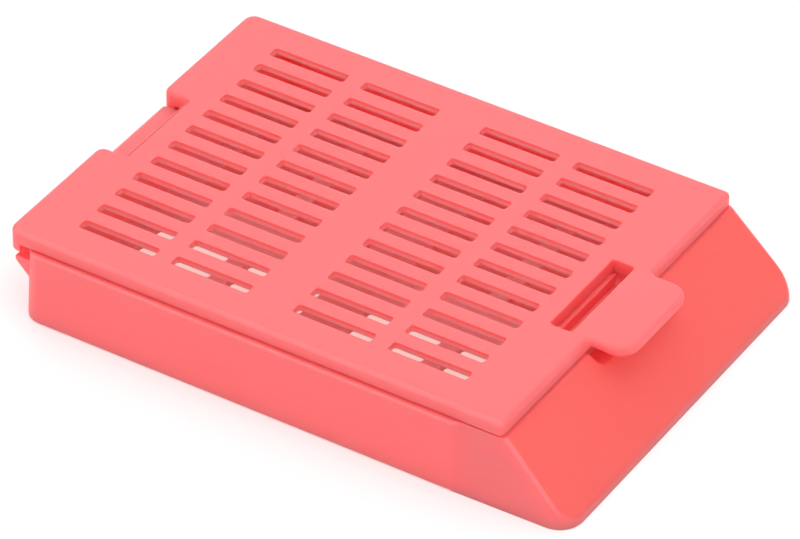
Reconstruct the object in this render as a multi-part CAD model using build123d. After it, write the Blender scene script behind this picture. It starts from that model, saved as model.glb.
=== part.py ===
"""Tissue cassette: an open slotted box with a 45 degree writing panel, and a slotted lid that hinges
at the rear and snaps shut behind the panel.

Millimetres. While a piece is drawn, x runs from the rear edge of the closed lid (x = 0) to the foot of the
writing panel, y runs across the cassette from its middle, and z runs up from the surface it stands on.
Each piece is moved back by half the length when it is written, so the origin is the bottom centre.
"""
from build123d import *
import math
import os

# Overall
LENGTH = 40.6             # lid's rear edge to the foot of the writing panel
WIDTH = 28.5              # across the base
HEIGHT = 6.15             # underside of the base to the top of the closed lid

# Base
WALL = 1.0                # side, rear and inner front wall thickness
FLOOR = 0.6
REAR_WALL_SETBACK = 1.1   # lid's rear edge to the outside of the rear wall
WALL_DRAFT = 2.0          # lean of the pocket's outer walls, degrees
REAR_CORNER_R = 1.4       # outside rear corners in plan
FRONT_CORNER_R = 1.6      # outside front corners in plan
POCKET_CORNER_R = 1.2     # inside corners of the specimen pocket
CHEEK_LENGTH = 7.8        # side cheeks, back from the foot of the panel
CHEEK_INSET = 0.05        # side of the base to the foot of the cheek, where the cheek starts
CHEEK_TOE_INSET = 0.2     # the same at the foot of the panel
CHEEK_LEAN = 4.5          # lean of the cheeks, degrees

# Writing panel, sloped at 45 degrees
PANEL_THICKNESS = 1.0     # square to the slope
PANEL_FOOT = 0.4          # upright edge at the foot of the slope
PANEL_LEDGE = 0.25        # flat top of the base left showing ahead of the lid
PANEL_EDGE_R = 0.45       # round along the sides of the slope
WEB = 1.2                 # roof of the hollow behind the panel
PANEL_NOTCH_WIDTH = 7.9   # notch in the top of the panel, under the thumb tab
PANEL_NOTCH_DEPTH = 0.8
PANEL_NOTCH_R = 0.7

# Lid
LID_SIDE_INSET = 0.5      # side of the lid in from the side of the base
LID_THICKNESS = 0.95      # rim, hinge and latch zones
LID_FIELD = 0.5           # slotted field
LID_SEAT_GAP = 0.1        # closed lid's underside to the rim of the base
LID_REAR_R = 0.8          # rear corners in plan
LID_EDGE_R = 0.2          # top edges
SKIRT_DEPTH = 0.8         # locating skirt under the lid, inside the base's walls
SKIRT_THICKNESS = 0.4
SKIRT_CLEARANCE = 0.15

# Slots in the lid and the floor, in four columns
SLOT_REAR_MARGIN = 1.5    # rear wall's inner face to the first column
SLOT_FRONT_MARGIN = 0.64  # last column to the inner front wall
SLOT_SIDE_MARGIN = 1.98   # side wall's inner face to the outermost row
SLOT_COLUMN_GAP = 1.25    # between the two columns of a pair
SLOT_PAIR_GAP = 3.3       # between the two pairs
SLOT_CORNER_R = 0.2
LID_SLOT_WIDTH = 0.87
LID_SLOT_ROWS = 12
FLOOR_SLOT_WIDTH = 1.0
FLOOR_SLOT_ROWS = 5       # each side of the middle band
FLOOR_BAND = 4.5          # plain middle band of the floor

# Hinge
LID_NOTCH_WIDTH = 7.0     # notch in the lid's rear edge, round the knuckle
LID_NOTCH_DEPTH = 1.9
LID_NOTCH_R = 0.6         # corners at the notch's mouth
LIP_THICKNESS = 0.9       # rear lip, ending in a full round about the hinge axis
LIP_DROP = 1.5            # top of the lid to the hinge axis
KNUCKLE_SIDE_GAP = 0.12
PIN_R = 0.22
PIN_LENGTH = 0.75
PIN_CLEARANCE = 0.05      # radial
PIN_END_GAP = 0.1
SHELF_GAP = 0.1           # lip's round to the shelf below it
SHELF_OUTSET = 0.6        # shelf out from the rear wall
SHELF_EDGE = 0.3          # upright rear edge of the shelf
SHELF_END_INSET = 0.65    # side of the base to the end of the shelf

# Latch
LATCH_SLOT_LENGTH = 1.55  # along the cassette
LATCH_SLOT_WIDTH = 7.6
LATCH_BAR = 1.15          # between the latch slot and the lid's front edge
LATCH_WALL_SHOWING = 0.25 # top of the inner front wall seen through the latch slot
TAB_REACH = 2.85          # thumb tab ahead of the lid's front edge
TAB_WIDTH = 7.7
TAB_THICKNESS = 0.7
TAB_CORNER_R = 1.3
TONGUE_WIDTH = 6.8
TONGUE_THICKNESS = 0.7
TONGUE_DROP = 3.2         # top of the lid to the tip of the tongue
BARB_HEIGHT = 0.8
TONGUE_SIDE_GAP = 0.15    # tongue to the ends of its opening in the web
TONGUE_FRONT_GAP = 0.25   # tongue to the front of that opening
CATCH_REACH = 0.7         # catch rib out from the inner front wall
CATCH_END_LAP = 0.1       # ends of the rib into the web
CATCH_HEIGHT = 0.6
CATCH_SNAP = 0.2          # how far the barb is hooked under the rib
CATCH_GAP = 0.1           # rib's underside to the barb, lid shut

# Worked out from the sizes above
RIM = HEIGHT - LID_THICKNESS - LID_SEAT_GAP
LID_UNDERSIDE = HEIGHT - LID_THICKNESS
LID_LENGTH = LENGTH + PANEL_FOOT - RIM - PANEL_LEDGE
LID_HALF = WIDTH / 2 - LID_SIDE_INSET
BAR_REAR = LID_LENGTH - LATCH_BAR
FRONT_WALL_FACE = BAR_REAR - LATCH_SLOT_LENGTH + LATCH_WALL_SHOWING
POCKET_START = REAR_WALL_SETBACK + WALL
POCKET_END = FRONT_WALL_FACE - WALL
POCKET_HALF = WIDTH / 2 - WALL
HINGE_X = LIP_THICKNESS / 2
HINGE_Z = HEIGHT - LIP_DROP
SHELF_TOP = HINGE_Z - LIP_THICKNESS / 2 - SHELF_GAP
CATCH_TIP = FRONT_WALL_FACE + CATCH_REACH
BARB_TOP = HEIGHT - TONGUE_DROP + BARB_HEIGHT
TONGUE_WAY_HALF = TONGUE_WIDTH / 2 + TONGUE_SIDE_GAP
SLOT_ROW_HALF = POCKET_HALF - SLOT_SIDE_MARGIN


def box(x0, x1, y0, y1, z0, z1):
    size = Box(x1 - x0, y1 - y0, z1 - z0, align=(Align.MIN, Align.MIN, Align.MIN))
    return Pos(x0, y0, z0) * size


def bar(points, half_width, y_middle=0.0):
    """A solid with the side outline `points`, (x, z), centred across y_middle."""
    outline = make_face(Polyline([(x, y_middle - half_width, z) for x, z in points], close=True))
    return extrude(outline, amount=2 * half_width, dir=(0, 1, 0))


def rod(radius, y0, y1):
    """A round bar on the hinge axis."""
    middle = Pos(HINGE_X, (y0 + y1) / 2, HINGE_Z) * Rot(X=90)
    return middle * Cylinder(radius, abs(y1 - y0))


def rounded(solid, axis, radius, picked):
    """Fillets the solid's edges along `axis` whose centres `picked` accepts."""
    edges = [edge for edge in solid.edges().filter_by(axis) if picked(edge.center())]
    return fillet(edges, radius)


def slots(rows, width, z0, z1):
    """Four columns of slots on the given rows."""
    start = POCKET_START + SLOT_REAR_MARGIN
    field = POCKET_END - SLOT_FRONT_MARGIN - start
    length = (field - 2 * SLOT_COLUMN_GAP - SLOT_PAIR_GAP) / 4
    inner = length + SLOT_COLUMN_GAP
    outer = 2 * length + SLOT_COLUMN_GAP + SLOT_PAIR_GAP
    columns = [start + shift + length / 2 for shift in (0, inner, outer, outer + inner)]
    places = Locations([(x, y) for x in columns for y in rows])
    shape = Sketch() + [place * RectangleRounded(length, width, SLOT_CORNER_R) for place in places]
    return extrude(Pos(0, 0, z0) * shape, amount=z1 - z0)


def lid_rows():
    pitch = (2 * SLOT_ROW_HALF - LID_SLOT_WIDTH) / (LID_SLOT_ROWS - 1)
    return [pitch * (row - (LID_SLOT_ROWS - 1) / 2) for row in range(LID_SLOT_ROWS)]


def floor_rows():
    first = (FLOOR_BAND + FLOOR_SLOT_WIDTH) / 2
    pitch = (SLOT_ROW_HALF - FLOOR_SLOT_WIDTH / 2 - first) / (FLOOR_SLOT_ROWS - 1)
    near = [first + pitch * row for row in range(FLOOR_SLOT_ROWS)]
    return [side * y for side in (-1, 1) for y in near]


def tray():
    """The drafted block the pocket is sunk in, cut off square where the cheeks start."""
    length = BAR_REAR - REAR_WALL_SETBACK
    plan = Pos(REAR_WALL_SETBACK + length / 2, 0) * Rectangle(length, WIDTH)
    rear = plan.vertices().group_by(Axis.X)[0]
    block = extrude(fillet(rear, REAR_CORNER_R), amount=RIM, taper=WALL_DRAFT)
    return block & box(0, LENGTH - CHEEK_LENGTH, -WIDTH / 2, WIDTH / 2, 0, RIM)


def cheek_plan():
    """The cheeks' outline on the ground, starting inside the tray and toed in towards the front."""
    lap = LENGTH - CHEEK_LENGTH - POCKET_END
    toe = (CHEEK_TOE_INSET - CHEEK_INSET) / CHEEK_LENGTH
    rear, front = WIDTH / 2 - CHEEK_INSET + toe * lap, WIDTH / 2 - CHEEK_TOE_INSET
    corners = [(POCKET_END, -rear), (LENGTH, -front), (LENGTH, front), (POCKET_END, rear)]
    return make_face(Polyline(corners, close=True))


def front_block():
    """The leaning cheeks and the writing panel as one solid wedge, rounded along the slope."""
    side = [
        (0, 0),
        (LENGTH, 0),
        (LENGTH, PANEL_FOOT),
        (LENGTH + PANEL_FOOT - RIM, RIM),
        (0, RIM),
    ]
    plan = cheek_plan()
    wedge = bar(side, WIDTH / 2) & extrude(plan, amount=RIM, taper=CHEEK_LEAN)
    slope = wedge.faces().sort_by(Axis((0, 0, 0), (1, 0, 1)))[-1]
    sides = [edge for edge in slope.edges() if abs(edge.center().Y) > WIDTH / 4]
    corners = plan.vertices().group_by(Axis.X)[-1]
    return fillet(sides, PANEL_EDGE_R) & extrude(fillet(corners, FRONT_CORNER_R), amount=RIM)


def panel_hollow():
    """The space behind the writing panel, open below."""
    back = LENGTH + PANEL_FOOT - PANEL_THICKNESS * math.sqrt(2)
    roof = RIM - WEB
    side = [(FRONT_WALL_FACE, -1), (back + 1, -1), (back - roof, roof), (FRONT_WALL_FACE, roof)]
    return bar(side, POCKET_HALF)


def panel_notch():
    """The notch in the top of the panel, running back to the inner front wall."""
    bottom = RIM - PANEL_NOTCH_DEPTH
    half = PANEL_NOTCH_WIDTH / 2
    cut = box(FRONT_WALL_FACE, LENGTH, -half, half, bottom, HEIGHT)
    return rounded(cut, Axis.X, PANEL_NOTCH_R, lambda at: at.Z < RIM)


def tongue_way():
    """The opening in the web that the latch tongue passes down through."""
    front = BAR_REAR + TONGUE_THICKNESS + TONGUE_FRONT_GAP
    bottom = BARB_TOP - BARB_HEIGHT
    return box(FRONT_WALL_FACE, front, -TONGUE_WAY_HALF, TONGUE_WAY_HALF, bottom, HEIGHT)


def catch_rib():
    """The rib on the inner front wall that the lid's barb hooks under, with a sloped top."""
    bottom = BARB_TOP + CATCH_GAP
    inside = FRONT_WALL_FACE - WALL / 2
    side = [
        (inside, bottom),
        (CATCH_TIP, bottom),
        (CATCH_TIP, bottom + CATCH_HEIGHT / 2),
        (FRONT_WALL_FACE, bottom + CATCH_HEIGHT),
        (inside, bottom + CATCH_HEIGHT),
    ]
    return bar(side, TONGUE_WAY_HALF + CATCH_END_LAP)


def shelf():
    """The shelf under the lid's rear lip, braced by a 45 degree underside."""
    rear = REAR_WALL_SETBACK - SHELF_OUTSET
    inside = POCKET_START
    low = SHELF_TOP - SHELF_EDGE
    side = [(rear, SHELF_TOP), (rear, low), (inside, low - (inside - rear)), (inside, SHELF_TOP)]
    return bar(side, WIDTH / 2 - SHELF_END_INSET)


def knuckle():
    """The fixed middle of the hinge, bored from each end for the lid's pins."""
    half = LID_NOTCH_WIDTH / 2 - KNUCKLE_SIDE_GAP
    block = box(0, POCKET_START, -half, half, SHELF_TOP - SHELF_EDGE, RIM)
    block = rounded(block, Axis.Y, HINGE_X, lambda at: at.X < HINGE_X and at.Z > HINGE_Z)
    depth = PIN_LENGTH + PIN_END_GAP
    bore = PIN_R + PIN_CLEARANCE
    end = LID_NOTCH_WIDTH / 2
    return block - rod(bore, end - depth, end) - rod(bore, -end, depth - end)


def base():
    pocket = box(POCKET_START, POCKET_END, -POCKET_HALF, POCKET_HALF, FLOOR, HEIGHT)
    pocket = rounded(pocket, Axis.Z, POCKET_CORNER_R, lambda at: True)
    solid = tray() + front_block() + shelf() + knuckle()
    solid = solid - panel_hollow() - panel_notch() - tongue_way() - pocket
    return solid + catch_rib() - slots(floor_rows(), FLOOR_SLOT_WIDTH, -1, FLOOR + 1)


def lid_plan():
    """The lid's outline, without its tab and notch."""
    outline = Pos(LID_LENGTH / 2, 0) * Rectangle(LID_LENGTH, 2 * LID_HALF)
    return fillet(outline.vertices().group_by(Axis.X)[0], LID_REAR_R)


def plate():
    """The lid's plate and thumb tab, with its top edges rounded."""
    tab_start = BAR_REAR + LATCH_BAR / 2
    tab_length = LID_LENGTH + TAB_REACH - tab_start
    tab = Pos(tab_start + tab_length / 2, 0) * Rectangle(tab_length, TAB_WIDTH)
    tab = fillet(tab.vertices().group_by(Axis.X)[-1], TAB_CORNER_R)
    main = extrude(Pos(0, 0, LID_UNDERSIDE) * lid_plan(), amount=LID_THICKNESS)
    thumb = extrude(Pos(0, 0, HEIGHT - TAB_THICKNESS) * tab, amount=TAB_THICKNESS)
    solid = main + thumb
    top = solid.faces().sort_by(Axis.Z)[-1]
    return fillet(top.edges(), LID_EDGE_R)


def skirt():
    """The ring under the lid that drops inside the walls of the base."""
    outside = SKIRT_CLEARANCE
    inside = SKIRT_CLEARANCE + SKIRT_THICKNESS
    rings = []
    for inset in (outside, inside):
        length = POCKET_END - POCKET_START - 2 * inset
        width = 2 * (POCKET_HALF - inset)
        plan = RectangleRounded(length, width, POCKET_CORNER_R - inset)
        rings.append(Pos((POCKET_START + POCKET_END) / 2, 0) * plan)
    ring = extrude(Pos(0, 0, LID_UNDERSIDE - SKIRT_DEPTH) * (rings[0] - rings[1]), amount=SKIRT_DEPTH)
    recess = extrude(Pos(0, 0, LID_UNDERSIDE - 1) * rings[1], amount=1 + LID_THICKNESS - LID_FIELD)
    return ring, recess


def lip():
    """The rear lip with its round lower edge on the hinge axis."""
    half = LID_HALF
    upright = box(0, LIP_THICKNESS, -half, half, HINGE_Z, LID_UNDERSIDE)
    reach = extrude(lid_plan(), amount=HEIGHT)
    return (upright + rod(LIP_THICKNESS / 2, -half, half)) & reach


def lid_notch():
    """The notch in the lid's rear edge, with its mouth flared by two rounds."""
    half = LID_NOTCH_WIDTH / 2
    flare = half + LID_NOTCH_R
    cut = Pos((LID_NOTCH_DEPTH - 1) / 2, 0) * Rectangle(LID_NOTCH_DEPTH + 1, 2 * half)
    mouth = Pos((LID_NOTCH_R - 1) / 2, 0) * Rectangle(LID_NOTCH_R + 1, 2 * flare)
    for side in (-1, 1):
        mouth -= Pos(LID_NOTCH_R, side * flare) * Circle(LID_NOTCH_R)
    return extrude(cut + mouth, amount=HEIGHT + 1)


def pins():
    end = LID_NOTCH_WIDTH / 2
    root = end + LIP_THICKNESS / 2
    return rod(PIN_R, end - PIN_LENGTH, root) + rod(PIN_R, -root, PIN_LENGTH - end)


def tongue():
    """The latch tongue under the lid's front bar, with a barb facing the rear."""
    tip = HEIGHT - TONGUE_DROP
    barb = CATCH_TIP - CATCH_SNAP
    side = [
        (BAR_REAR, HEIGHT - LID_THICKNESS / 2),
        (BAR_REAR, BARB_TOP),
        (barb, BARB_TOP),
        (barb, BARB_TOP - BARB_HEIGHT / 4),
        (BAR_REAR, tip),
        (BAR_REAR + TONGUE_THICKNESS, tip),
        (BAR_REAR + TONGUE_THICKNESS, HEIGHT - LID_THICKNESS / 2),
    ]
    return bar(side, TONGUE_WIDTH / 2)


def lid():
    ring, recess = skirt()
    half = LATCH_SLOT_WIDTH / 2
    start = BAR_REAR - LATCH_SLOT_LENGTH
    latch_slot = box(start, BAR_REAR, -half, half, LID_UNDERSIDE - 1, HEIGHT + 1)
    latch_slot = rounded(latch_slot, Axis.Z, SLOT_CORNER_R, lambda at: True)
    solid = plate() + lip() - recess - lid_notch() + ring
    solid = solid - latch_slot - slots(lid_rows(), LID_SLOT_WIDTH, LID_UNDERSIDE - 1, HEIGHT + 1)
    return solid + pins() + tongue()


def write(name, solid):
    export_step(Pos(-LENGTH / 2, 0, 0) * solid, f"parts/{name}.step")


os.makedirs("parts", exist_ok=True)
write("base", base())
write("lid", lid())
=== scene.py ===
import math

import bmesh
import bpy
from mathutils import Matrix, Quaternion, Vector


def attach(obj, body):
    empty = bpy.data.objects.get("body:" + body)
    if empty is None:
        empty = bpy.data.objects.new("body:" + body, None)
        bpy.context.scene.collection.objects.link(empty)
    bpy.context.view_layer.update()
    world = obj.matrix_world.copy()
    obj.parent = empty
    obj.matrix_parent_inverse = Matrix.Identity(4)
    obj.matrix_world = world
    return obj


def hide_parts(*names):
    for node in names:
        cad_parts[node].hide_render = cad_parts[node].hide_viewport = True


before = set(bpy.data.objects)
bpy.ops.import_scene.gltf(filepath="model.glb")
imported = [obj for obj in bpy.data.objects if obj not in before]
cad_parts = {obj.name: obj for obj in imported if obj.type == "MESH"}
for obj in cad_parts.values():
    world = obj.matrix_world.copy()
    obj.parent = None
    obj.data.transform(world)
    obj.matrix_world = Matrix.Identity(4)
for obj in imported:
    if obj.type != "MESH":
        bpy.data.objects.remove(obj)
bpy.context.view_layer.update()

# Sizes are millimetres. x runs from the lid's rear edge to the foot of the writing panel, y across from
# the middle and z up from the bench, and every piece is drawn half the length further back.
MM = 0.001

# The shut cassette
LENGTH = 40.6
WIDTH = 28.5
HEIGHT = 6.15

# The slots, in four columns from end to end of the tissue's pocket
COLUMNS = [(3.6, 9.1425), (10.3925, 15.935), (19.235, 24.7775), (26.0275, 31.57)]
SLOTTED_HALF = 11.4
SLOT_CORNER = 0.2
LID_SLOT = 0.87
LID_ROWS = [1.97 * (row - 5.5) for row in range(12)]
FLOOR_SLOT = 1.0
FLOOR_ROWS = [side * (2.75 + 2.005 * row) for side in (-1, 1) for row in range(5)]

# The tray
RIM = 5.1
WALL = 1.0
FLOOR = 0.6
FOOT = 0.25
FOOT_ROUND = 0.15
SIDE_LEAN = math.radians(2.0)
REAR_X = 1.1
REAR_R = 1.4
POCKET_X = (2.1, 32.2)
POCKET_HALF = 13.25
POCKET_R = 1.2

# The writing panel, its cheeks and the hollow behind it. SLOPE is x + z all over the panel's face. The side
# walls end at the seam, with a chamfer down to the cheeks.
SLOPE = LENGTH + 0.4
PANEL_THICK = 1.0
PANEL_CORNER = 1.6
PANEL_EDGE = 0.35
PANEL_TAPER = 0.15
CHEEK_FOOT = WIDTH / 2 - 0.05
CHEEK_LEAN = math.radians(4.5)
SEAM = 32.8
SEAM_STEP = 0.07
SEAM_CHAMFER = math.radians(30)
FRONT_WALL = 33.2
WEB = 1.2
HOLLOW_ROUND = 0.3
PANEL_NOTCH_HALF = 3.95
PANEL_NOTCH_DEPTH = 0.8
PANEL_NOTCH_R = 0.7

# The latch in the base: the way through the web for the tongue, and the rib that its barb hooks under
WAY_END = 35.45
WAY_HALF = 3.55
WAY_FLOOR = 3.75
RIB_END = 33.9
RIB_HALF = 3.85
RIB_Z = (3.85, 4.45)
RIB_SLOPE = 0.3

# The hinge, with its axis at an x and a z. SHELF_SLOPE is x + z all over the shelf's sloping underside.
HINGE = (0.45, 4.65)
PIN_R = 0.22
PIN_Y = (2.75, 3.95)
BORE_R = 0.27
BORE_Y = (2.65, 4.2)
KNUCKLE_HALF = 3.38
KNUCKLE_FLOOR = 3.7
KNUCKLE_ROUND = 0.44
INTO_WALL = 2.05
SHELF_HALF = 13.6
SHELF_Z = (2.0, 4.13)
SHELF_SLOPE = 4.28

# The lid, with the outer and inner rectangles of the skirt that drops into the pocket
LID_LENGTH = 35.65
LID_HALF = 13.75
LID_THICK = 0.95
LID_FIELD = 0.5
SKIRT_OUT = (2.25, 32.05, 13.1)
SKIRT_IN = (2.65, 31.65, 12.7)
SKIRT_DROP = 0.8
LIP_X = 0.9
LIP_HALF = 0.45
LIP_TURNS = (15, 30, 45, 60, 75, 85)
NOTCH_X = 1.9
NOTCH_HALF = 3.5

# The front of the lid: the latch slot, the bar in front of it, the tongue with its barb, and the thumb tab
LATCH_X = 32.95
LATCH_HALF = 3.8
BAR_X = 34.5
TONGUE_HALF = 3.4
TONGUE_THICK = 0.7
TONGUE_TIP = 2.95
BARB_TOP = 3.75
BARB_REACH = 0.8
BARB_LEAD = 0.6
TAB_END = 38.5
TAB_HALF = 3.85
TAB_THICK = 0.7

# The rounds of the lid's plan, seen from above
SKIRT_CORNER_OUT = 1.0
SKIRT_CORNER_IN = 0.6
LIP_CORNER = 0.8
LIP_NOTCH_CORNER = 0.6
NOTCH_CORNER = 0.2
LATCH_CORNER = 0.2
LID_CORNER = 0.35
TAB_CORNER = 1.3
TAB_ROOT_CORNER = 0.35
TAB_ROOT = LID_LENGTH + TAB_ROOT_CORNER

# The rounds on the edges. Every edge that turns by more than SHARP is rounded.
SHARP = math.radians(40)
SMOOTH = math.radians(35)
ROUND_STEPS = 3
WIDEST_ROUND = 0.5
TOP_ROUND = 0.3
FLOOR_ROUND = 0.25
TAB_ROUND = 0.22
NOTCH_ROUND = 0.2
LATCH_ROUND = 0.1
RIM_ROUND = 0.1
SLOT_ROUND = 0.06
FINE_ROUND = 0.04

# The plastic's colours and finish. Light sinks in, and red travels furthest, so gaps and edges glow. Paler
# edges, a paler pocket and a darker panel face are also painted into the colour, as painted highlights,
# painted fill light and painted shade.
CORAL_PALE = (0.990, 0.156, 0.164, 1)
CORAL_DEEP = (0.975, 0.146, 0.151, 1)
# The panel face is a darker coral: painted shade on the sloping face, besides its etched finish
CORAL_PANEL_PAINTED_SHADE = (0.995, 0.116, 0.104, 1)
# Painted fill light: the walls of the pocket and of the slots are painted paler than the outside
CORAL_PAINTED_FILL_LIGHT = (0.998, 0.41, 0.42, 1)
# Painted highlight: a paler coral painted along the rounded edges
CORAL_PAINTED_HIGHLIGHT = (0.992, 0.195, 0.203, 1)
GLOSS = 0.42
PANEL_GLOSS = 0.75
CLOUD_SIZE = 9.0
MOTTLE_SIZE = 0.9
GRAIN_SIZE = 0.12
ETCH_SIZE = 0.07
ETCH_DEPTH = 0.12
CLOUD_SHARE = 0.8
MOTTLE_SHARE = 0.5
GRAIN_SHARE = 0.35
BUMP_STRENGTH = 0.25
BUMP_DEPTH = 0.012
REFRACTION = 1.48
GLOW_WEIGHT = 0.9
GLOW_DEPTH = 2.0
GLOW_SPREAD = (1.0, 0.12, 0.10)

# The bench, with a pool of pink light painted on it under the cassette, for the light that comes down through
# the plastic
BENCH_SIZE = 3000
BENCH_Z = -0.02
WHITE = (1, 1, 1, 1)
PAPER = (0.9, 0.9, 0.9, 1)
# Painted light: a pink pool painted into the bench's colour and glow under the cassette
PAPER_PAINTED_PINK_LIGHT = (0.95, 0.72, 0.68, 1)
GLOW_PAINTED_PINK_LIGHT = (1.0, 0.72, 0.66, 1)
BENCH_GLOW = 1.08
BENCH_SHARE = 0.3
PAINTED_PINK_LIGHT_SHARE = 0.35
SKY = 0.86

# Light bounces often enough between the slots' walls to fill them
DIFFUSE_BOUNCES = 12
ALL_BOUNCES = 16

# The lamps: degrees turned about the cassette, degrees up, metres away, metres wide, and watts
SOFTBOXES = {
    "overhead": (0, 85, 0.9, 0.8, 2.0),
    "rear": (-149, 38, 0.9, 0.9, 1.2),
    "front": (-20, 25, 0.9, 0.8, 0.9),
    "panel": (80, 62, 0.9, 0.8, 1.0),
}

# The camera: its turn, height and tip, what it looks at, how far off it stands, and its lens
VIEW_TURN = math.radians(31.36)
VIEW_HEIGHT = math.radians(37.52)
VIEW_TIP = math.radians(0.917)
VIEW_AIM = (0.11, -0.705, 3.0)
VIEW_DISTANCE = 386.9
LENS = 281.25
SENSOR = 36


def place(x, y, z):
    return Vector(((x - LENGTH / 2) * MM, y * MM, z * MM))


def drawn(point):
    """A mesh's point as a place on the drawing, in millimetres."""
    return point / MM + Vector((LENGTH / 2, 0, 0))


def clear():
    """Back to object mode with nothing selected."""
    if bpy.context.mode != "OBJECT":
        bpy.ops.object.mode_set(mode="OBJECT")
    bpy.ops.object.select_all(action="DESELECT")


def choose(piece):
    """Selects one piece and nothing else."""
    clear()
    piece.select_set(True)
    bpy.context.view_layer.objects.active = piece


def new_piece(name, scale=(1, 1, 1)):
    """Names the primitive just added, stretches it and puts its place into its mesh."""
    piece = bpy.context.object
    piece.name = piece.data.name = name
    piece.scale = scale
    bpy.ops.object.transform_apply(location=True, rotation=True, scale=True)
    return piece


def block(name, x, y, z):
    """A cube primitive stretched between two corners."""
    clear()
    low, high = place(x[0], y[0], z[0]), place(x[1], y[1], z[1])
    bpy.ops.mesh.primitive_cube_add(size=1, location=(low + high) / 2)
    return new_piece(name, high - low)


def sheet(name, x, y, z):
    """A flat plane primitive at height z."""
    clear()
    low, high = place(x[0], y[0], z), place(x[1], y[1], z)
    bpy.ops.mesh.primitive_plane_add(size=1, location=(low + high) / 2)
    return new_piece(name, (high.x - low.x, high.y - low.y, 1))


def hinge_bar(name, radius, y):
    """A round bar on the hinge axis, from one y to another."""
    clear()
    bpy.ops.mesh.primitive_cylinder_add(
        vertices=24, radius=radius * MM, depth=abs(y[1] - y[0]) * MM,
        location=place(HINGE[0], sum(y) / 2, HINGE[1]), rotation=(math.pi / 2, 0, 0))
    return new_piece(name)


def pick(piece, kind, test):
    """Edit mode with only what passes the test selected. A vertex gives its place, an edge its two ends,
    a face its middle and its normal."""
    choose(piece)
    bpy.ops.object.mode_set(mode="EDIT")
    bpy.ops.mesh.select_mode(type=kind)
    bpy.ops.mesh.select_all(action="DESELECT")
    mesh = bmesh.from_edit_mesh(piece.data)
    if kind == "VERT":
        for vert in mesh.verts:
            vert.select = test(drawn(vert.co))
    elif kind == "EDGE":
        for edge in mesh.edges:
            edge.select = test(*(drawn(vert.co) for vert in edge.verts))
    else:
        for face in mesh.faces:
            face.select = test(drawn(face.calc_center_median()), face.normal)
    mesh.select_flush_mode()
    bmesh.update_edit_mesh(piece.data)


def move(x=0.0, y=0.0, z=0.0):
    bpy.ops.transform.translate(value=(x * MM, y * MM, z * MM))


def extrude(x=0.0, y=0.0, z=0.0):
    offset = (x * MM, y * MM, z * MM)
    bpy.ops.mesh.extrude_region_move(TRANSFORM_OT_translate={"value": offset})


def near(a, b, slack=0.02):
    return abs(a - b) < slack


def all_faces(middle, facing):
    return True


def zone(x0, x1, half=WIDTH):
    """Passes the faces of a rectangle of the plan, from x0 to x1 and as far as `half` to each side."""
    def test(middle, facing):
        return x0 < middle.x < x1 and abs(middle.y) < half
    return test


def edges_at(x=None, z=None):
    """Passes the edges that lie all along the given x, the given z or both."""
    def test(a, b):
        return all((x is None or near(end.x, x)) and (z is None or near(end.z, z)) for end in (a, b))
    return test


def uprights_at(*places):
    """Passes the upright edges at the given (x, |y|), to both sides."""
    def test(a, b):
        if not (near(a.x, b.x) and near(a.y, b.y)):
            return False
        return any(near(a.x, x) and near(abs(a.y), y) for x, y in places)
    return test


def cut(piece, point, normal, test=all_faces, **settings):
    """Cuts the chosen faces along a plane."""
    pick(piece, "FACE", test)
    bpy.ops.mesh.bisect(plane_co=place(*point), plane_no=normal, threshold=0.001 * MM, **settings)


def cut_across(piece, x, test=all_faces):
    cut(piece, (x, 0, 0), (1, 0, 0), test)


def cut_along(piece, half, test=all_faces):
    """Cuts the chosen faces along two planes, one to each side of the middle."""
    for side in (-1, 1):
        cut(piece, (0, side * half, 0), (0, 1, 0), test)


def slice_off(piece, point, normal):
    """Cuts away all that lies outside a plane, and closes the cut."""
    cut(piece, point, normal, use_fill=True, clear_outer=True)


def remove_faces(piece, test):
    pick(piece, "FACE", test)
    bpy.ops.mesh.delete(type="FACE")


def round_off(piece, radius, segments, test):
    """Rounds the edges that pass the test."""
    pick(piece, "EDGE", test)
    bpy.ops.mesh.bevel(offset=radius * MM, segments=segments, affect="EDGES", clamp_overlap=False)


def combine(piece, other, operation):
    """Joins the other piece to this one, or cuts it away, and removes it."""
    choose(piece)
    modifier = piece.modifiers.new(operation.title(), "BOOLEAN")
    modifier.operation = operation
    modifier.solver = "EXACT"
    modifier.object = other
    bpy.ops.object.modifier_apply(modifier=modifier.name)
    bpy.data.objects.remove(other)


def cut_slots(piece, rows, width, inside):
    """Cuts the slot pattern into the flat faces that `inside` accepts, and removes the slots."""
    first, last = COLUMNS[0][0], COLUMNS[-1][1]
    for column in COLUMNS:
        for x in column:
            cut_across(piece, x, inside)

    def between(middle, facing):
        return inside(middle, facing) and first < middle.x < last

    for row in rows:
        for y in (row - width / 2, row + width / 2):
            cut(piece, (0, y, 0), (0, 1, 0), between)

    def slot(middle, facing):
        in_column = any(start < middle.x < end for start, end in COLUMNS)
        return in_column and any(abs(middle.y - row) < width / 2 for row in rows)

    remove_faces(piece, slot)


def slot_corners(rows, width):
    """Passes the upright corner edges of the slots."""
    xs = [x for column in COLUMNS for x in column]
    ys = [row + side * width / 2 for row in rows for side in (-1, 1)]

    def test(a, b):
        if not (near(a.x, b.x) and near(a.y, b.y)):
            return False
        return any(near(a.x, x) for x in xs) and any(near(a.y, y) for y in ys)

    return test


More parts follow.
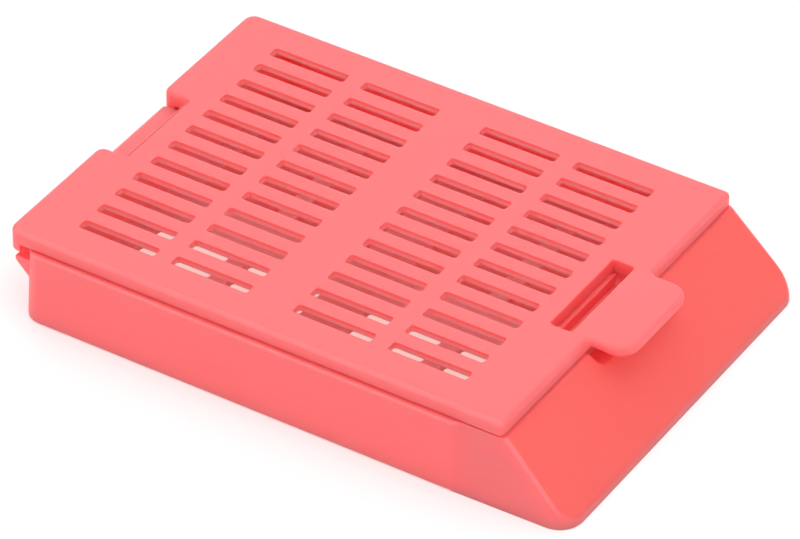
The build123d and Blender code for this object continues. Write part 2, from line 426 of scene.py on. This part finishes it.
def finish(piece, radius_of):
    """Rounds every sharp edge by the radius given for it, and smooths the shading."""
    choose(piece)
    mesh = bmesh.new()
    mesh.from_mesh(piece.data)
    bmesh.ops.remove_doubles(mesh, verts=mesh.verts, dist=0.002 * MM)
    weights = mesh.edges.layers.float.get("bevel_weight_edge")
    weights = weights or mesh.edges.layers.float.new("bevel_weight_edge")
    for edge in mesh.edges:
        if len(edge.link_faces) == 2 and edge.calc_face_angle() > SHARP:
            edge[weights] = radius_of(*(drawn(vert.co) for vert in edge.verts)) / WIDEST_ROUND
    mesh.to_mesh(piece.data)
    mesh.free()
    bevel = piece.modifiers.new("Rounds", "BEVEL")
    bevel.limit_method = "WEIGHT"
    bevel.width = WIDEST_ROUND * MM
    bevel.segments = ROUND_STEPS
    bevel.use_clamp_overlap = False
    bpy.ops.object.modifier_apply(modifier=bevel.name)
    bpy.ops.object.shade_smooth_by_angle(angle=SMOOTH)
    normals = piece.modifiers.new("Flats", "WEIGHTED_NORMAL")
    normals.keep_sharp = True
    bpy.ops.object.modifier_apply(modifier=normals.name)


def over_slots(x, y):
    return COLUMNS[0][0] - 0.1 < x < COLUMNS[-1][1] + 0.1 and abs(y) < SLOTTED_HALF


def lid_plan():
    """The lid as a flat sheet: its slots, its rear notch, its latch slot and its tab."""
    lid = sheet("cassette_lid", (0, LID_LENGTH), (-LID_HALF, LID_HALF), HEIGHT)
    out_x0, out_x1, out_half = SKIRT_OUT
    in_x0, in_x1, in_half = SKIRT_IN
    for x in (LIP_X, out_x0, out_x1, BAR_X):
        cut_across(lid, x)
    cut_along(lid, out_half, zone(out_x0, out_x1))
    for x in (in_x0, in_x1):
        cut_across(lid, x, zone(*SKIRT_OUT))
    cut_along(lid, in_half, zone(in_x0, in_x1, out_half))
    cut_slots(lid, LID_ROWS, LID_SLOT, zone(*SKIRT_IN))

    cut_along(lid, NOTCH_HALF, zone(0, out_x0))
    cut_across(lid, NOTCH_X, zone(0, out_x0, NOTCH_HALF))
    remove_faces(lid, zone(0, NOTCH_X, NOTCH_HALF))

    cut_along(lid, LATCH_HALF, zone(out_x1, BAR_X))
    cut_across(lid, LATCH_X, zone(out_x1, BAR_X, LATCH_HALF))
    remove_faces(lid, zone(LATCH_X, BAR_X, LATCH_HALF))

    def tab_root(a, b):
        return near(a.x, LID_LENGTH) and near(b.x, LID_LENGTH) and abs(a.y + b.y) / 2 < TAB_HALF

    cut_along(lid, TAB_HALF, zone(BAR_X, LID_LENGTH))
    pick(lid, "EDGE", tab_root)
    extrude(x=TAB_END - LID_LENGTH)
    return lid


def underside(z, inside):
    """Passes the faces at height z that look up or down and whose middle is inside."""
    def test(middle, facing):
        return near(middle.z, z) and abs(facing.z) > 0.9 and inside(middle, facing)
    return test


def thicken_lid(lid):
    """Gives the flat lid its thicknesses, each stage inside the one before."""
    field, within_skirt = zone(*SKIRT_IN), zone(*SKIRT_OUT)

    def plate(middle, facing):
        return not field(middle, facing)

    def plate_but_tab(middle, facing):
        return plate(middle, facing) and middle.x < LID_LENGTH

    def skirt(middle, facing):
        return plate(middle, facing) and within_skirt(middle, facing)

    pick(lid, "FACE", all_faces)
    extrude(z=-LID_FIELD)
    pick(lid, "FACE", underside(HEIGHT - LID_FIELD, plate))
    extrude(z=LID_FIELD - TAB_THICK)
    pick(lid, "FACE", underside(HEIGHT - TAB_THICK, plate_but_tab))
    extrude(z=TAB_THICK - LID_THICK)
    pick(lid, "FACE", underside(HEIGHT - LID_THICK, skirt))
    extrude(z=-SKIRT_DROP)


def add_lip(lid):
    """Draws the rear lip down to the hinge axis and then narrows it to a full round."""
    bottom = HEIGHT - LID_THICK
    pick(lid, "FACE", underside(bottom, zone(0, LIP_X)))
    extrude(z=HINGE[1] - bottom)
    round_off(lid, LIP_CORNER, 6, uprights_at((0, LID_HALF)))
    round_off(lid, LIP_NOTCH_CORNER, 5, uprights_at((0, NOTCH_HALF)))
    pick(lid, "FACE", lambda middle, facing: near(middle.z, HINGE[1]) and facing.z < -0.9)
    lip_z, width = HINGE[1], LIP_HALF
    for turn in LIP_TURNS:
        next_z = HINGE[1] - LIP_HALF * math.sin(math.radians(turn))
        next_width = LIP_HALF * math.cos(math.radians(turn))
        extrude(z=next_z - lip_z)
        bpy.ops.transform.resize(value=(next_width / width, 1, 1), center_override=place(HINGE[0], 0, next_z))
        lip_z, width = next_z, next_width


def add_tongue(lid):
    """Draws the latch tongue down from the front bar, with its barb and the barb's lead-in."""
    bottom = HEIGHT - LID_THICK
    back = BAR_X + TONGUE_THICK
    cut_along(lid, TONGUE_HALF, underside(bottom, zone(BAR_X, LID_LENGTH, TAB_HALF)))
    cut_across(lid, back, underside(bottom, zone(BAR_X, LID_LENGTH, TONGUE_HALF)))
    pick(lid, "FACE", underside(bottom, zone(BAR_X, back, TONGUE_HALF)))
    extrude(z=BARB_TOP - bottom)
    extrude(z=TONGUE_TIP - BARB_TOP)

    def barb_face(middle, facing):
        return near(middle.x, BAR_X) and facing.x < -0.9 and TONGUE_TIP < middle.z < BARB_TOP

    pick(lid, "FACE", barb_face)
    extrude(x=-BARB_REACH)
    pick(lid, "EDGE", edges_at(x=BAR_X - BARB_REACH, z=TONGUE_TIP))
    move(z=BARB_LEAD)


def make_lid():
    """The slotted lid with its lip, hinge pins, skirt, latch tongue and thumb tab."""
    lid = lid_plan()
    thicken_lid(lid)
    add_lip(lid)
    add_tongue(lid)
    round_off(lid, SLOT_CORNER, 3, slot_corners(LID_ROWS, LID_SLOT))
    round_off(lid, LATCH_CORNER, 3, uprights_at((LATCH_X, LATCH_HALF), (BAR_X, LATCH_HALF)))
    round_off(lid, NOTCH_CORNER, 3, uprights_at((NOTCH_X, NOTCH_HALF)))
    round_off(lid, LID_CORNER, 5, uprights_at((LID_LENGTH, LID_HALF)))
    round_off(lid, TAB_CORNER, 8, uprights_at((TAB_END, TAB_HALF)))
    round_off(lid, TAB_ROOT_CORNER, 4, uprights_at((LID_LENGTH, TAB_HALF)))
    for corner, steps, (x0, x1, half) in ((SKIRT_CORNER_IN, 5, SKIRT_IN), (SKIRT_CORNER_OUT, 6, SKIRT_OUT)):
        round_off(lid, corner, steps, uprights_at((x0, half), (x1, half)))
    cut_across(lid, TAB_ROOT, lambda middle, facing: middle.x > LID_LENGTH and facing.z < -0.9)
    for side in (-1, 1):
        combine(lid, hinge_bar("pin", PIN_R, [side * y for y in PIN_Y]), "UNION")
    return lid


def lid_radius(a, b):
    """The round that the moulding has on each of the lid's edges."""
    x, y, z = (a + b) / 2
    y = abs(y)
    level = near(a.z, b.z)
    if level and near(z, HEIGHT):
        if over_slots(x, y):
            return SLOT_ROUND
        if near(x, NOTCH_X) and y < NOTCH_HALF:
            return NOTCH_ROUND
        if LATCH_X - 0.1 < x < BAR_X + 0.1 and y < LATCH_HALF + 0.1:
            return LATCH_ROUND
        return TOP_ROUND
    if level and x > TAB_ROOT + 0.005 and near(z, HEIGHT - TAB_THICK):
        return TAB_ROUND
    if near(x, HINGE[0], 0.4) and y < NOTCH_HALF + 0.05 and near(z, HINGE[1], 0.3):
        return 0.0
    return FINE_ROUND


def in_pocket(x, y, margin=0.0):
    """Whether a point of the plan is inside the pocket, whose rear corners are round."""
    if not (POCKET_X[0] + margin < x < POCKET_X[1] - margin and abs(y) < POCKET_HALF - margin):
        return False
    corner_x, corner_y = POCKET_X[0] + POCKET_R, POCKET_HALF - POCKET_R
    if x < corner_x and abs(y) > corner_y:
        return math.hypot(x - corner_x, abs(y) - corner_y) < POCKET_R - margin
    return True


def lean_in(tray, height):
    """Draws the outer faces of the side and rear walls in at this height, and their round corners too."""
    inward = (height - FOOT) * math.tan(SIDE_LEAN)
    for side in (-1, 1):
        pick(tray, "VERT", lambda at: near(at.z, height) and near(at.y, side * WIDTH / 2))
        move(y=-side * inward)
    round_x, round_y = REAR_X + REAR_R, WIDTH / 2 - REAR_R

    def rear_end(at):
        if not near(at.z, height) or at.x > round_x - 0.01:
            return False
        reach = math.hypot(at.x - round_x, abs(at.y) - round_y)
        on_rear_face = abs(at.y) < round_y and near(at.x, REAR_X)
        return on_rear_face or near(reach, REAR_R, 0.1)

    pick(tray, "VERT", rear_end)
    bpy.ops.transform.resize(value=(1 - inward / REAR_R, 1 - inward / (WIDTH / 2), 1),
                             center_override=place(round_x, 0, height))


def make_tray():
    """The slotted floor and the four walls round it."""
    def pocket(middle, facing):
        return in_pocket(middle.x, middle.y)

    def walls(middle, facing):
        return not pocket(middle, facing)

    def wall_tops(middle, facing):
        return near(middle.z, FLOOR) and abs(facing.z) > 0.9 and not in_pocket(middle.x, middle.y, 0.02)

    def outer_faces(middle, facing):
        upright = abs(facing.z) < 0.1 and middle.x < FRONT_WALL - 0.01
        return upright and not in_pocket(middle.x, middle.y, -0.5)

    def corner_to_corner(a, b):
        return abs(a.x - b.x) > 0.5 and abs(a.y - b.y) > 0.5

    def outer_foot(a, b):
        if near(a.x, SEAM) and near(b.x, SEAM):
            return False
        return all(near(end.z, 0) and not in_pocket(end.x, end.y, -0.5) for end in (a, b))

    tray = sheet("cassette_base", (REAR_X, FRONT_WALL), (-WIDTH / 2, WIDTH / 2), 0)
    pick(tray, "FACE", all_faces)
    bpy.ops.mesh.inset(thickness=WALL * MM)
    cut_across(tray, LENGTH / 2, walls)
    cut_slots(tray, FLOOR_ROWS, FLOOR_SLOT, pocket)

    pick(tray, "FACE", all_faces)
    extrude(z=FLOOR)
    pick(tray, "FACE", wall_tops)
    extrude(z=RIM - FLOOR)
    pick(tray, "EDGE", corner_to_corner)
    bpy.ops.mesh.dissolve_edges(use_verts=False)
    round_off(tray, REAR_R, 10, uprights_at((REAR_X, WIDTH / 2)))
    round_off(tray, POCKET_R, 6, uprights_at((POCKET_X[0], POCKET_HALF), (POCKET_X[1], POCKET_HALF)))
    round_off(tray, SLOT_CORNER, 3, slot_corners(FLOOR_ROWS, FLOOR_SLOT))

    # The foot of the outer walls is upright and rounded under, and above it they lean in towards the rim
    cut(tray, (0, 0, FOOT), (0, 0, 1), outer_faces)
    for height in (FLOOR, RIM):
        lean_in(tray, height)
    pick(tray, "VERT", lambda at: near(at.x, FRONT_WALL))
    move(x=SEAM - FRONT_WALL)
    round_off(tray, FOOT_ROUND, 3, outer_foot)

    # The ends of the outer faces are cut down to the cheeks, which stand a little further in
    for side in (-1, 1):
        outward = (math.tan(SEAM_CHAMFER), side * math.cos(CHEEK_LEAN), math.sin(CHEEK_LEAN))
        slice_off(tray, (SEAM, side * (WIDTH / 2 - SEAM_STEP), 0), outward)
    return tray


def make_front():
    """The leaning cheeks and the writing panel, as one solid wedge."""
    front = block("front", (POCKET_X[1] + 0.2, LENGTH), (-CHEEK_FOOT, CHEEK_FOOT), (0, RIM))
    for side in (-1, 1):
        pick(front, "VERT", lambda at: near(at.z, RIM) and near(at.y, side * CHEEK_FOOT))
        move(y=-side * RIM * math.tan(CHEEK_LEAN))
        pick(front, "VERT", lambda at: near(at.x, LENGTH) and at.y * side > 0)
        move(y=-side * PANEL_TAPER)

    def front_corner(a, b):
        return near(a.x, LENGTH) and near(b.x, LENGTH) and not near(a.z, b.z, 1)

    def slope_edge(a, b):
        on_slope = near(a.x + a.z, SLOPE) and near(b.x + b.z, SLOPE)
        return on_slope and min(a.z, b.z) < RIM - 0.01

    round_off(front, PANEL_CORNER, 10, front_corner)
    slice_off(front, (SLOPE, 0, 0), (1, 0, 1))
    round_off(front, PANEL_EDGE, 5, slope_edge)
    return front


def make_hollow():
    """The space behind the panel, as a solid to cut away. All its edges but the mouth's are rounded."""
    def inner_edge(a, b):
        at_mouth = near(a.z, b.z) and a.z < 0
        return not at_mouth and max(a.z, b.z) > 0

    hollow = block("hollow", (FRONT_WALL, LENGTH), (-POCKET_HALF, POCKET_HALF), (-1, RIM - WEB))
    slice_off(hollow, (SLOPE - PANEL_THICK * math.sqrt(2), 0, 0), (1, 0, 1))
    round_off(hollow, HOLLOW_ROUND, 3, inner_edge)
    return hollow


def make_panel_notch():
    """The finger notch in the panel's top edge, as a solid to cut away."""
    bottom = RIM - PANEL_NOTCH_DEPTH
    across = (-PANEL_NOTCH_HALF, PANEL_NOTCH_HALF)
    notch = block("panel_notch", (FRONT_WALL, LENGTH - 2), across, (bottom, RIM + 2))
    at_bottom = edges_at(z=bottom)
    round_off(notch, PANEL_NOTCH_R, 8, lambda a, b: at_bottom(a, b) and near(a.y, b.y))
    return notch


def make_shelf():
    """The shelf under the lid's lip, with a sloping underside."""
    shelf = block("shelf", (HINGE[0], INTO_WALL), (-SHELF_HALF, SHELF_HALF), SHELF_Z)
    slice_off(shelf, (SHELF_SLOPE, 0, 0), (-1, 0, -1))
    return shelf


def make_knuckle():
    knuckle = block("knuckle", (0, INTO_WALL), (-KNUCKLE_HALF, KNUCKLE_HALF), (KNUCKLE_FLOOR, RIM))
    round_off(knuckle, KNUCKLE_ROUND, 6, edges_at(x=0, z=RIM))
    return knuckle


def make_rib():
    """The rib that the latch hooks under, with a sloping top."""
    rib = block("rib", (FRONT_WALL - 0.5, RIB_END), (-RIB_HALF, RIB_HALF), RIB_Z)
    pick(rib, "EDGE", edges_at(x=RIB_END, z=RIB_Z[1]))
    move(z=-RIB_SLOPE)
    return rib


def make_base():
    """The slotted tray with its hinge, its writing panel and its catch."""
    base = make_tray()
    combine(base, make_front(), "UNION")
    combine(base, make_shelf(), "UNION")
    combine(base, make_knuckle(), "UNION")
    for side in (-1, 1):
        combine(base, hinge_bar("bore", BORE_R, [side * y for y in BORE_Y]), "DIFFERENCE")
    combine(base, make_hollow(), "DIFFERENCE")
    combine(base, make_panel_notch(), "DIFFERENCE")
    way = block("way", (FRONT_WALL, WAY_END), (-WAY_HALF, WAY_HALF), (WAY_FLOOR, RIM + 1))
    combine(base, way, "DIFFERENCE")
    combine(base, make_rib(), "UNION")
    return base


def base_radius(a, b):
    """The round that the moulding has on each of the base's edges."""
    x, y, z = (a + b) / 2
    level = near(a.z, b.z)
    if x > POCKET_X[1] and z < FOOT_ROUND + 0.01 and abs(y) > 13:
        return 0.0
    if near(z, 0) and near(x, LENGTH):
        return 0.0
    if level and near(z, RIM):
        return RIM_ROUND
    if level and near(z, FLOOR) and not over_slots(x, y):
        return FLOOR_ROUND
    return FINE_ROUND


class Value:
    """A number that varies over a surface. Sums written with it become maths nodes."""

    def __init__(self, shader, socket):
        self.shader = shader
        self.socket = socket

    def __add__(self, other):
        return self.shader.maths("ADD", self, other)

    def __sub__(self, other):
        return self.shader.maths("SUBTRACT", self, other)

    def __rsub__(self, other):
        return self.shader.maths("SUBTRACT", other, self)

    def __mul__(self, other):
        return self.shader.maths("MULTIPLY", self, other)

    def __truediv__(self, other):
        return self.shader.maths("DIVIDE", self, other)

    def __abs__(self):
        return self.shader.maths("ABSOLUTE", self, 0.0)

    def clamped(self):
        return self.shader.maths("ADD", self, 0.0, use_clamp=True)

    __radd__ = __add__
    __rmul__ = __mul__


class Shader:
    """A node tree that is filled one node at a time."""

    def __init__(self, tree):
        self.tree = tree
        tree.nodes.clear()

    def node(self, kind, settings=None, **inputs):
        """Adds a node: its settings first, then the values or links of its sockets. A socket goes by its
        name, with _ for a space, or by _ and its number."""
        node = self.tree.nodes.new("ShaderNode" + kind)
        for name, value in (settings or {}).items():
            setattr(node, name, value)
        for name, value in inputs.items():
            key = int(name[1:]) if name[0] == "_" else name.replace("_", " ")
            if isinstance(value, Value):
                self.tree.links.new(value.socket, node.inputs[key])
            elif isinstance(value, bpy.types.NodeSocket):
                self.tree.links.new(value, node.inputs[key])
            else:
                node.inputs[key].default_value = value
        return node

    def maths(self, operation, a, b, use_clamp=False):
        node = self.node("Math", {"operation": operation, "use_clamp": use_clamp}, _0=a, _1=b)
        return Value(self, node.outputs[0])

    def fade(self, value, start, end):
        """1 below the start, 0 above the end."""
        return ((end - value) / (end - start)).clamped()

    def rise(self, value, start, end):
        """0 below the start, 1 above the end."""
        return 1 - self.fade(value, start, end)

    def mix(self, share, first, second):
        """The first colour where the share is 0, the second where it is 1."""
        return self.node("Mix", {"data_type": "RGBA"}, _0=share, _6=first, _7=second).outputs[2]

    def noise(self, spot, size, detail=3.0, roughness=0.5):
        """A soft noise from 0 to 1, its grains about `size` millimetres across."""
        node = self.node("TexNoise", Vector=spot, Scale=1 / (size * MM), Detail=detail, Roughness=roughness)
        return Value(self, node.outputs["Fac"])

    def on_drawing(self, spot):
        """The x, y and z of a spot on the drawing, in millimetres."""
        axes = self.node("SeparateXYZ", Vector=spot)
        x, y, z = (Value(self, axes.outputs[axis]) / MM for axis in "XYZ")
        return x + LENGTH / 2, y, z


def new_material(name):
    material = bpy.data.materials.new(name)
    material.use_nodes = True
    return material, Shader(material.node_tree)


def painted_fill_light_mask(shader, x, side, z, top):
    """The painted fill light: 1 on the walls of the pocket and of the slots, which throw light at one
    another, and 0 outside. These walls are painted a paler coral as fill light.
    """
    rear, front = POCKET_X
    along = shader.rise(x, rear - 0.2, rear - 0.1) * shader.fade(x, front, front + 0.1)
    across = shader.fade(side, POCKET_HALF + 0.1, POCKET_HALF + 0.2)
    upward = shader.rise(z, 0.05, 0.15) * shader.fade(z, top - 0.3, top - 0.1)
    return along * across * upward


def base_painted_highlights(shader, x, side, z):
    """The painted highlights: pale lines painted along the panel's sides and along the rim beside the lid."""
    from_cheek = side + z * math.tan(CHEEK_LEAN)
    panel = shader.rise(from_cheek, CHEEK_FOOT - 0.42, CHEEK_FOOT - 0.3)
    panel = panel * shader.rise(x + z, SLOPE - 0.3, SLOPE - 0.2)
    rim = shader.rise(side, LID_HALF + 0.1, LID_HALF + 0.17) * shader.rise(z, RIM - 0.25, RIM - 0.15)
    return (panel + rim).clamped()


def lid_painted_highlights(shader, side, z):
    """The painted highlights: pale lines painted along the lid's long edges."""
    return shader.rise(side, LID_HALF - 0.3, LID_HALF - 0.2) * shader.rise(z, HEIGHT - 0.28, HEIGHT - 0.2)


def coral_acetal(name, panel):
    """Moulded coral acetal. Where there is a writing panel, its face has a dull etching, and is painted a
    darker coral as painted shade on the sloping face.
    """
    material, shader = new_material(name)
    spot = shader.node("TexCoord").outputs["Object"]
    x, y, z = shader.on_drawing(spot)
    side = abs(y)
    cloud = shader.noise(spot, CLOUD_SIZE, detail=2.0)
    mottle = shader.noise(spot, MOTTLE_SIZE, detail=4.0, roughness=0.6)
    grain = shader.noise(spot, GRAIN_SIZE, detail=2.0)

    shade = 0.5 + (cloud - 0.5) * CLOUD_SHARE + (mottle - 0.5) * MOTTLE_SHARE
    colour = shader.mix(shade, CORAL_DEEP, CORAL_PALE)
    # The pocket's and slots' walls are painted paler, as painted fill light
    painted_fill_light = painted_fill_light_mask(shader, x, side, z, RIM if panel else HEIGHT)
    colour = shader.mix(painted_fill_light, colour, CORAL_PAINTED_FILL_LIGHT)
    # Pale painted highlights along the rounded edges
    painted_highlight = base_painted_highlights(shader, x, side, z) if panel else lid_painted_highlights(shader, side, z)
    colour = shader.mix(painted_highlight, colour, CORAL_PAINTED_HIGHLIGHT)
    rough = GLOSS + (mottle - 0.5) * 0.1
    if panel:
        etched_and_painted_shade = shader.rise(x + z, SLOPE - ETCH_DEPTH, SLOPE - ETCH_DEPTH + 0.1)
        etch = shader.noise(spot, ETCH_SIZE, detail=3.0, roughness=0.7)
        grain = grain + etched_and_painted_shade * (etch * 2.0 - grain)
        etched_and_painted_shade = etched_and_painted_shade * (1 - painted_highlight)
        # The etched panel face is painted darker, as painted shade on the sloping face
        colour = shader.mix(etched_and_painted_shade, colour, CORAL_PANEL_PAINTED_SHADE)
        rough = rough + etched_and_painted_shade * (PANEL_GLOSS - GLOSS)
    relief = grain * GRAIN_SHARE + mottle * (1 - GRAIN_SHARE)
    bump = shader.node("Bump", Height=relief, Strength=BUMP_STRENGTH, Distance=BUMP_DEPTH * MM)
    plastic = shader.node(
        "BsdfPrincipled", {"subsurface_method": "RANDOM_WALK"}, Base_Color=colour, Roughness=rough,
        IOR=REFRACTION, Subsurface_Weight=GLOW_WEIGHT, Subsurface_Radius=GLOW_SPREAD,
        Subsurface_Scale=GLOW_DEPTH * MM, Normal=bump.outputs["Normal"])
    shader.node("OutputMaterial", Surface=plastic.outputs[0])
    return material


def dress(piece, material):
    piece.data.materials.clear()
    piece.data.materials.append(material)


def make_bench():
    """A wide white floor that keeps the cassette's shadow, with a pool of pink light painted under the
    cassette.
    """
    clear()
    bpy.ops.mesh.primitive_plane_add(size=BENCH_SIZE * MM, location=(0, 0, BENCH_Z * MM))
    floor = new_piece("floor")
    material, shader = new_material("white_floor")
    path = shader.node("LightPath")
    rays = [Value(shader, path.outputs[f"Is {kind} Ray"]) for kind in ("Camera", "Glossy", "Transmission")]
    seen = rays[0] + rays[1] + rays[2]
    # A pool of pink light is painted into the bench's colour and glow under the cassette, for light that
    # comes down through the plastic
    x, y, _ = shader.on_drawing(shader.node("TexCoord").outputs["Object"])
    # The mask of the painted pink light under the cassette
    under = shader.fade(abs(x - LENGTH / 2), LENGTH / 2 - 2, LENGTH / 2 - 1)
    under = under * shader.fade(abs(y), WIDTH / 2 - 2, WIDTH / 2 - 1)
    paper = shader.node("BsdfDiffuse", Color=shader.mix(under, PAPER, PAPER_PAINTED_PINK_LIGHT))
    glow = shader.node("Emission", Color=shader.mix(under, WHITE, GLOW_PAINTED_PINK_LIGHT), Strength=BENCH_GLOW)
    share = seen * (BENCH_SHARE + under * PAINTED_PINK_LIGHT_SHARE)
    both = shader.node("MixShader", _0=share, _1=paper.outputs[0], _2=glow.outputs[0])
    # From below the bench is clear, so that the underside can be looked at
    below = shader.node("NewGeometry").outputs["Backfacing"]
    nothing = shader.node("BsdfTransparent")
    surface = shader.node("MixShader", _0=below, _1=both.outputs[0], _2=nothing.outputs[0])
    shader.node("OutputMaterial", Surface=surface.outputs[0])
    dress(floor, material)


def towards(turn, height):
    """The direction of a place that is turned about the cassette from its near side, and so far up."""
    return Vector((math.sin(turn) * math.cos(height), -math.cos(turn) * math.cos(height), math.sin(height)))


def add_softbox(name, turn, height, distance, size, power):
    """A square soft light that faces the cassette."""
    way = towards(math.radians(turn), math.radians(height))
    lamp = bpy.data.lights.new(name, "AREA")
    lamp.shape = "SQUARE"
    lamp.size = size
    lamp.energy = power
    box = bpy.data.objects.new(name, lamp)
    box.location = way * distance
    box.rotation_euler = way.to_track_quat("Z", "Y").to_euler()
    bpy.context.collection.objects.link(box)


def add_world():
    world = bpy.data.worlds.new("studio")
    world.use_nodes = True
    shader = Shader(world.node_tree)
    sky = shader.node("Background", Color=WHITE, Strength=SKY)
    shader.node("OutputWorld", Surface=sky.outputs[0])
    bpy.context.scene.world = world


def add_camera():
    """A long lens from the front right, looking down on the lid, and tipped a little about its own axis."""
    away = towards(VIEW_TURN, VIEW_HEIGHT)
    camera = bpy.data.objects.new("camera", bpy.data.cameras.new("camera"))
    camera.data.lens = LENS
    camera.data.sensor_width = SENSOR
    camera.location = (Vector(VIEW_AIM) + away * VIEW_DISTANCE) * MM
    camera.rotation_mode = "QUATERNION"
    camera.rotation_quaternion = Quaternion(away, VIEW_TIP) @ away.to_track_quat("Z", "Y")
    bpy.context.collection.objects.link(camera)
    bpy.context.scene.camera = camera


lid = make_lid()
finish(lid, lid_radius)
base = make_base()
finish(base, base_radius)

dress(lid, coral_acetal("coral_lid", panel=False))
dress(base, coral_acetal("coral_base", panel=True))
for piece, node in ((lid, "lid"), (base, "base")):
    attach(piece, node)
    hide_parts(node)

make_bench()
add_world()
for name, settings in SOFTBOXES.items():
    add_softbox(name, *settings)
add_camera()
bpy.context.scene.cycles.diffuse_bounces = DIFFUSE_BOUNCES
bpy.context.scene.cycles.max_bounces = ALL_BOUNCES
bpy.context.scene.view_settings.view_transform = "Standard"
